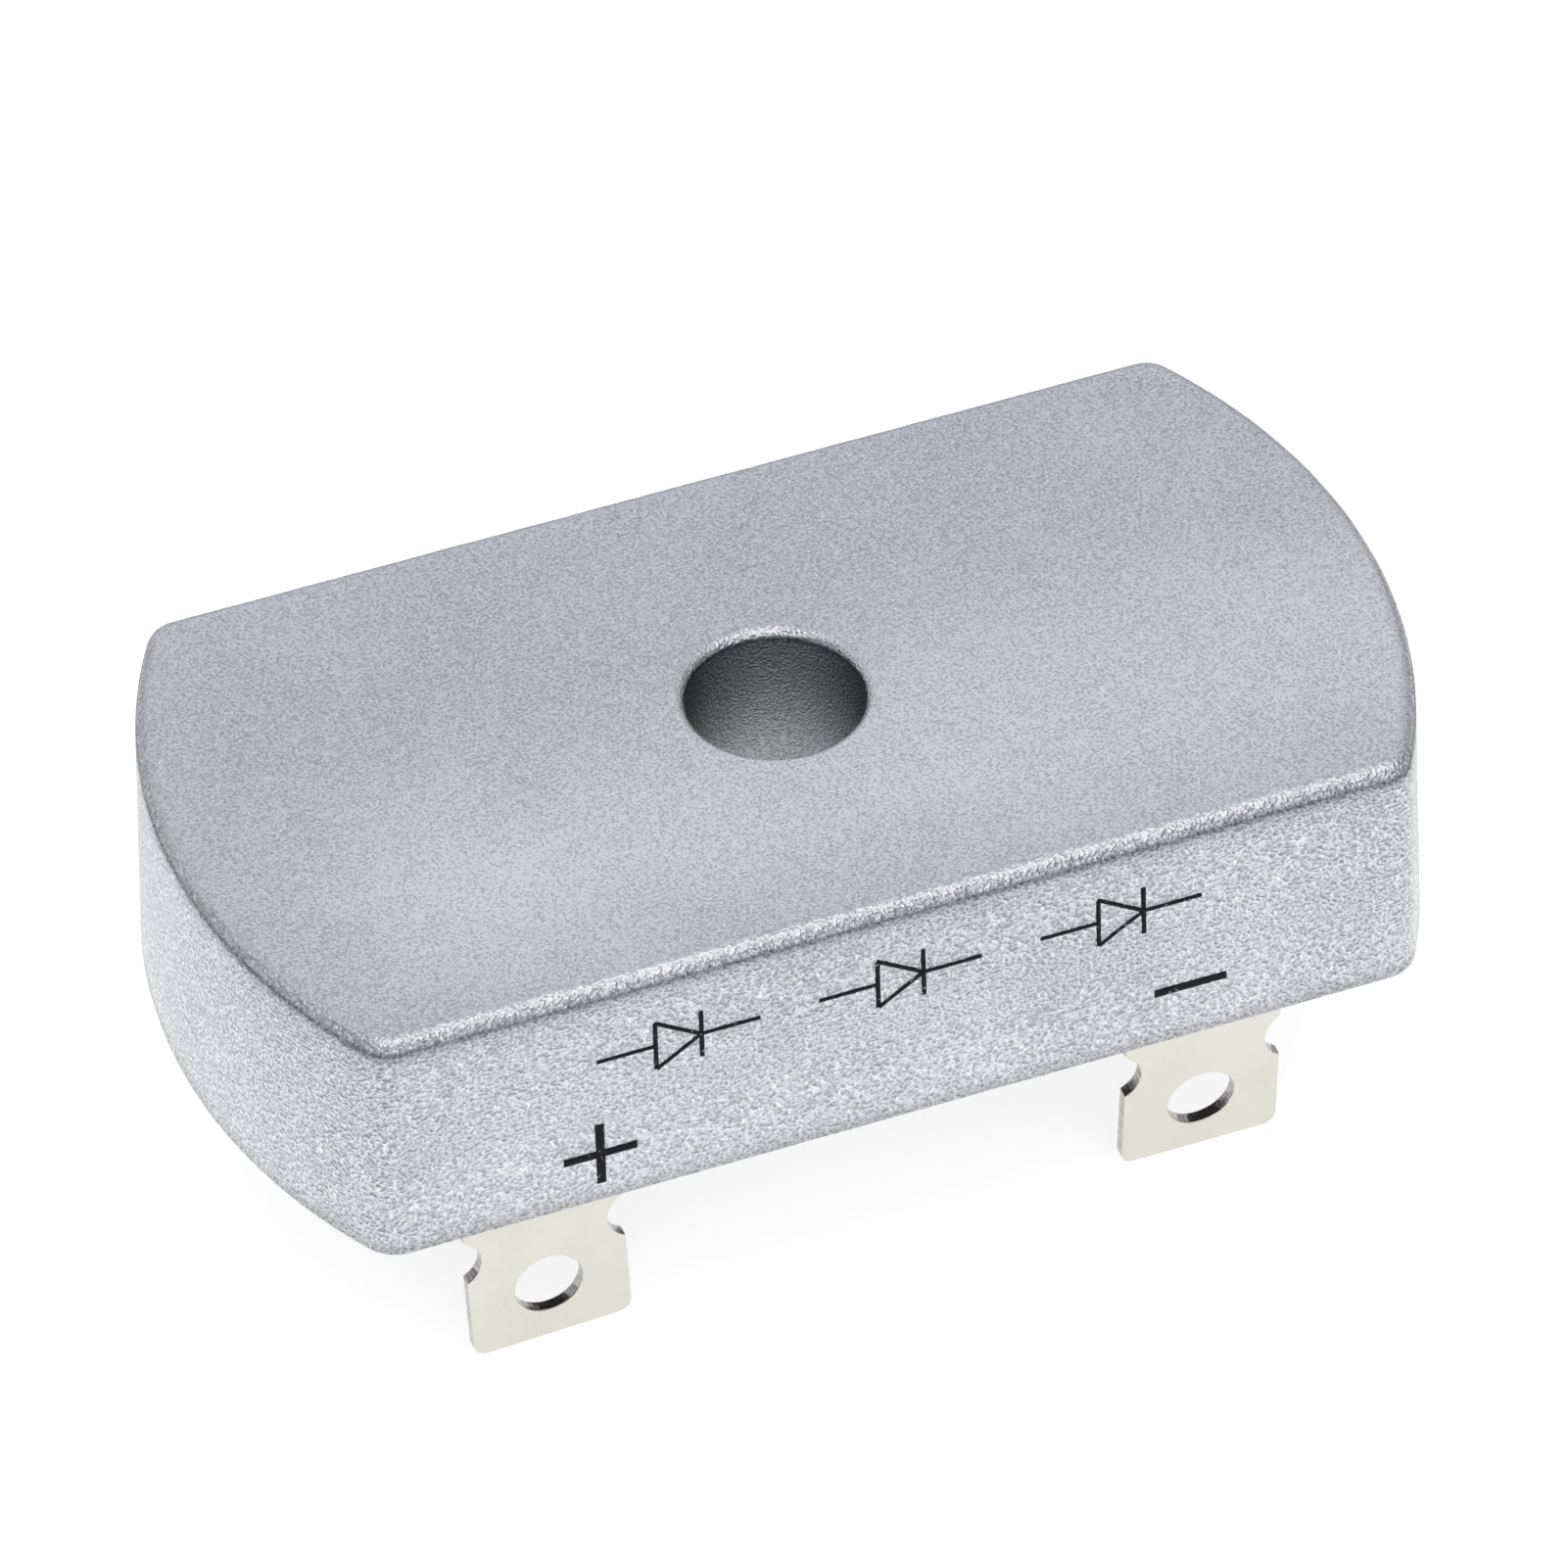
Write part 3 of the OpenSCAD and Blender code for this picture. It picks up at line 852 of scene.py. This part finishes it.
def make_potting(scene):
    """The potting keeps its CAD solid and gets its epoxy, and climbs the pocket's wall and the boss."""
    cast = scene.rectifier_cast
    material = epoxy(scene.rectifier_finish)
    dress(frame["nodes"]["potting"], material)
    rise = (POTTING_Z - RIM_Z) * math.tan(cast.draft)
    pocket, normal = plan(HALF_LENGTH - cast.wall, HALF_WIDTH - cast.wall, cast.corner)
    outer = meniscus_rings(pocket - rise * normal, -normal, cast.meniscus)
    bearing = bearings(pocket)
    inner = meniscus_rings(bearing * (BORE_RADIUS + cast.boss_wall + rise), bearing, cast.meniscus)
    dress(closed_mesh("potting_meniscus_wall", outer), material)
    dress(closed_mesh("potting_meniscus_boss", inner[::-1]), material)


def make_circuit(scene):
    """The sealed pieces of the bridge circuit keep their CAD solids and get their materials."""
    finish = scene.rectifier_finish
    copper = plain_metal("tarnished_copper", finish.copper, 0.3, 0.5)
    tinned = plain_metal("tinned_metal", finish.riser, 0.3, 0.45)
    alumina = plain_ceramic("fired_alumina", finish.alumina, 0.6, 0.75)
    silicon = plain_ceramic("polished_silicon", finish.silicon, 0.15, 0.3)
    for nodes, material, slot in (
        (COPPER_NODES, copper, "copper"),
        (RISER_NODES, tinned, "riser_metal"),
        (TILE_NODES, alumina, "alumina"),
        (DIE_NODES, silicon, "silicon"),
    ):
        for node in nodes:
            dress(frame["nodes"][node], material)


def front_wall(along, rise, stand_off, cast):
    """Points on the drafted front wall: along the case, above the rim, and standing off the skin."""
    true_y = -(HALF_WIDTH - rise * math.tan(cast.draft))
    points = np.stack([along, true_y, RIM_Z + rise], -1)
    points[..., 1] -= skin_relief(points, cast) + stand_off
    return points


def stroke_rings(path, width, thickness, cast, across):
    """A printed stroke as rings along a path on the front wall.

    The path is resampled by length. At each of its points a flat closed section lies square to the
    path: its face stands off the skin by the ink's thickness and its back sinks in by as much.
    """
    path = np.asarray(path, float)
    step = np.linalg.norm(np.diff(path, axis=0), axis=1)
    run = np.concatenate([[0], np.cumsum(step)])
    samples = np.linspace(0, run[-1], max(6, int(run[-1] / INK_STEP)))
    line = np.stack([np.interp(samples, run, path[:, axis]) for axis in (0, 1)], -1)
    heading = np.gradient(line, axis=0)
    heading /= np.linalg.norm(heading, axis=1)[:, None]
    side = np.stack([-heading[:, 1], heading[:, 0]], -1)
    offsets = np.linspace(-0.5, 0.5, across) * width
    face = line[:, None] + side[:, None] * offsets[None, :, None]
    front = front_wall(face[..., 0], face[..., 1], thickness, cast)
    back = front_wall(face[..., 0], face[..., 1], -thickness, cast)
    return np.concatenate([front, back[:, ::-1]], 1)


def capped_mesh(name, strokes):
    """One mesh from strokes: each is a tube of rings, closed at both ends by a strip of quads."""
    vertices, quads, start = [], [], 0
    for rings in strokes:
        rows, columns = rings.shape[:2]
        tube = ring_quads(rows, columns, rows - 1)
        half = np.arange(columns // 2 - 1)
        cap = np.stack([half, half + 1, columns - 2 - half, columns - 1 - half], -1)
        far_cap = cap[:, ::-1] + (rows - 1) * columns
        quads += [tube + start, cap + start, far_cap + start]
        vertices.append(rings.reshape(-1, 3))
        start += rows * columns
    return mesh_object(name, np.concatenate(vertices), np.concatenate(quads))


def layered_strokes(paths, width, layer, across, scene):
    """Strokes that cross or meet. Each is thicker than the one before it by this share of the ink's
    thickness, so that their faces don't coincide."""
    thin, cast = scene.rectifier_print.ink, scene.rectifier_cast
    levels = 1 + layer * np.arange(len(paths))
    return [
        stroke_rings(path, width, thin * level, cast, across) for path, level in zip(paths, levels)
    ]


def shared_ink(scene):
    """The ink's material, made by the first piece that is printed."""
    return bpy.data.materials.get("printed_ink") or ink(scene.rectifier_finish)


def make_polarity_marks(scene):
    """The plus and minus marks above their terminals."""
    sizes = scene.rectifier_print
    half, x, z = sizes.plus_span / 2, sizes.plus_x, sizes.plus_rise
    bars = [[(x - half, z), (x + half, z)], [(x, z - half), (x, z + half)]]
    plus = layered_strokes(bars, sizes.mark_stroke, 0.3, MARK_COLUMNS, scene)
    dress(capped_mesh("plus_mark", plus), shared_ink(scene))
    half, x, z = sizes.minus_span / 2, sizes.minus_x, sizes.minus_rise
    bar = [(x - half, z), (x + half, z)]
    minus = layered_strokes([bar], sizes.mark_stroke, 0.3, MARK_COLUMNS, scene)
    dress(capped_mesh("minus_mark", minus), shared_ink(scene))


def make_diode_symbols(scene):
    """A row of three plain diode symbols: a lead, a triangle, a bar and a lead."""
    sizes = scene.rectifier_print
    half, reach, z = sizes.symbol_height / 2, sizes.symbol_length / 2, sizes.symbol_rise
    half_triangle = 0.8 * half
    strokes = []
    for i in (-1, 0, 1):
        x = i * sizes.symbol_pitch
        back, tip = x - half_triangle, x + half_triangle
        paths = [
            [(x - reach, z), (back, z)],
            [(back, z - half), (back, z + half), (tip, z), (back, z - half)],
            [(tip, z - half), (tip, z + half)],
            [(tip, z), (x + reach, z)],
        ]
        strokes += layered_strokes(paths, sizes.symbol_stroke, 0.15, SYMBOL_COLUMNS, scene)
    dress(capped_mesh("diode_symbols", strokes), shared_ink(scene))


# ---- stage ----


def make_floor(scene):
    """A wide floor, one grid in the plane that the module stands on."""
    reach, count = 3.0, 13
    x, y = np.meshgrid(np.linspace(-reach, reach, count), np.linspace(-reach, reach, count))
    points = np.stack([x, y, np.zeros_like(x)], -1).reshape(-1, 3)
    row, column = np.meshgrid(np.arange(count - 1), np.arange(count - 1), indexing="ij")
    first = (row * count + column).ravel()
    quads = np.stack([first, first + 1, first + count + 1, first + count], -1)
    mesh = bpy.data.meshes.new("floor")
    mesh.from_pydata(points.tolist(), [], quads.tolist())
    floor = bpy.data.objects.new("floor", mesh)
    scene.collection.objects.link(floor)
    mesh.materials.append(floor_finish(scene.rectifier_finish))


def make_world(scene):
    """Studio surroundings: pale behind the module, dark in front of it, and white to the camera."""
    world = bpy.data.worlds.new("studio")
    world.use_nodes = True
    scene.world = world
    tree = Tree(world.node_tree)
    direction = tree.add("TexCoord").outputs["Generated"]
    parts = tree.add("SeparateXYZ", {"Vector": direction}).outputs
    finish = scene.rectifier_finish
    walls = tree.mix(tree.remap(parts["Y"], -0.1, 0.5), finish.front_walls, finish.back_walls)
    rays = tree.add("LightPath").outputs
    seen = tree.mix(rays["Is Camera Ray"], walls, (1.0, 1.0, 1.0))
    background = tree.add("Background", {"Color": seen, "Strength": 1.0})
    tree.add("OutputWorld", {"Surface": background.outputs[0]})


def make_light(scene):
    """A wide soft lamp above the front of the stage, facing straight down."""
    stage = scene.rectifier_stage
    lamp = bpy.data.lights.new("overhead", "AREA")
    lamp.shape = "RECTANGLE"
    lamp.size, lamp.size_y = stage.lamp_width, stage.lamp_depth
    lamp.energy = stage.lamp_power
    light = bpy.data.objects.new("overhead", lamp)
    light.location = (0.0, -stage.lamp_forward, stage.lamp_height)
    light.visible_camera = False
    scene.collection.objects.link(light)


def make_camera(scene):
    """The camera, at its angle round the module."""
    stage = scene.rectifier_stage
    a, e, r = stage.azimuth, stage.elevation, stage.roll
    right = Vector((math.cos(a), math.sin(a), 0))
    back = Vector((math.sin(a) * math.cos(e), -math.cos(a) * math.cos(e), math.sin(e)))
    up = back.cross(right)
    turned_right = right * math.cos(r) + up * math.sin(r)
    turned_up = up * math.cos(r) - right * math.sin(r)
    data = bpy.data.cameras.new("camera")
    data.lens = stage.lens
    data.clip_start, data.clip_end = 0.05, 20
    camera = bpy.data.objects.new("camera", data)
    axes = Matrix((turned_right, turned_up, back)).transposed()
    place = Vector(stage.aim) + back * stage.distance
    camera.matrix_world = Matrix.Translation(place) @ axes.to_4x4()
    scene.collection.objects.link(camera)
    scene.camera = camera


# ---- operators ----


class RECTIFIER_OT_case(bpy.types.Operator):
    """Build the cast case's skin"""

    bl_idname = "rectifier.case"
    bl_label = "Cast Case"

    def execute(self, context):
        make_case(context.scene)
        return {"FINISHED"}


class RECTIFIER_OT_terminals(bpy.types.Operator):
    """Build the plated terminals"""

    bl_idname = "rectifier.terminals"
    bl_label = "Terminals"

    def execute(self, context):
        make_terminals(context.scene)
        return {"FINISHED"}


class RECTIFIER_OT_potting(bpy.types.Operator):
    """Finish the potting"""

    bl_idname = "rectifier.potting"
    bl_label = "Potting"

    def execute(self, context):
        make_potting(context.scene)
        return {"FINISHED"}


class RECTIFIER_OT_circuit(bpy.types.Operator):
    """Finish the sealed pieces of the bridge circuit"""

    bl_idname = "rectifier.circuit"
    bl_label = "Bridge Circuit"

    def execute(self, context):
        make_circuit(context.scene)
        return {"FINISHED"}


class RECTIFIER_OT_polarity_marks(bpy.types.Operator):
    """Print the plus and minus marks"""

    bl_idname = "rectifier.polarity_marks"
    bl_label = "Polarity Marks"

    def execute(self, context):
        make_polarity_marks(context.scene)
        return {"FINISHED"}


class RECTIFIER_OT_diode_symbols(bpy.types.Operator):
    """Print the row of diode symbols"""

    bl_idname = "rectifier.diode_symbols"
    bl_label = "Diode Symbols"

    def execute(self, context):
        make_diode_symbols(context.scene)
        return {"FINISHED"}


class RECTIFIER_OT_stage(bpy.types.Operator):
    """Set up the floor, the light and the camera"""

    bl_idname = "rectifier.stage"
    bl_label = "Stage"

    def execute(self, context):
        scene = context.scene
        make_floor(scene)
        make_world(scene)
        make_light(scene)
        make_camera(scene)
        scene.view_settings.view_transform = "Standard"
        return {"FINISHED"}


OPERATORS = (
    RECTIFIER_OT_stage,
    RECTIFIER_OT_case,
    RECTIFIER_OT_terminals,
    RECTIFIER_OT_potting,
    RECTIFIER_OT_circuit,
    RECTIFIER_OT_polarity_marks,
    RECTIFIER_OT_diode_symbols,
)


class RECTIFIER_PT_pieces(bpy.types.Panel):
    """Lists the pieces and their settings"""

    bl_label = "Bridge Rectifier"
    bl_idname = "RECTIFIER_PT_pieces"
    bl_space_type = "VIEW_3D"
    bl_region_type = "UI"
    bl_category = "Rectifier"

    def draw(self, context):
        for operator in OPERATORS:
            self.layout.operator(operator.bl_idname)
        for name, group in SETTINGS.items():
            box = self.layout.box()
            settings = getattr(context.scene, name)
            for field in group.__annotations__:
                box.prop(settings, field)


def register():
    for group in SETTINGS.values():
        bpy.utils.register_class(group)
    for name, group in SETTINGS.items():
        setattr(bpy.types.Scene, name, PointerProperty(type=group))
    for operator in OPERATORS:
        bpy.utils.register_class(operator)
    bpy.utils.register_class(RECTIFIER_PT_pieces)


def unregister():
    bpy.utils.unregister_class(RECTIFIER_PT_pieces)
    for operator in reversed(OPERATORS):
        bpy.utils.unregister_class(operator)
    for name, group in SETTINGS.items():
        delattr(bpy.types.Scene, name)
        bpy.utils.unregister_class(group)


def main():
    """Registers the add-on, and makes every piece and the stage."""
    register()
    for operator in OPERATORS:
        category, name = operator.bl_idname.split(".")
        getattr(getattr(bpy.ops, category), name)()


if __name__ == "__main__":
    main()
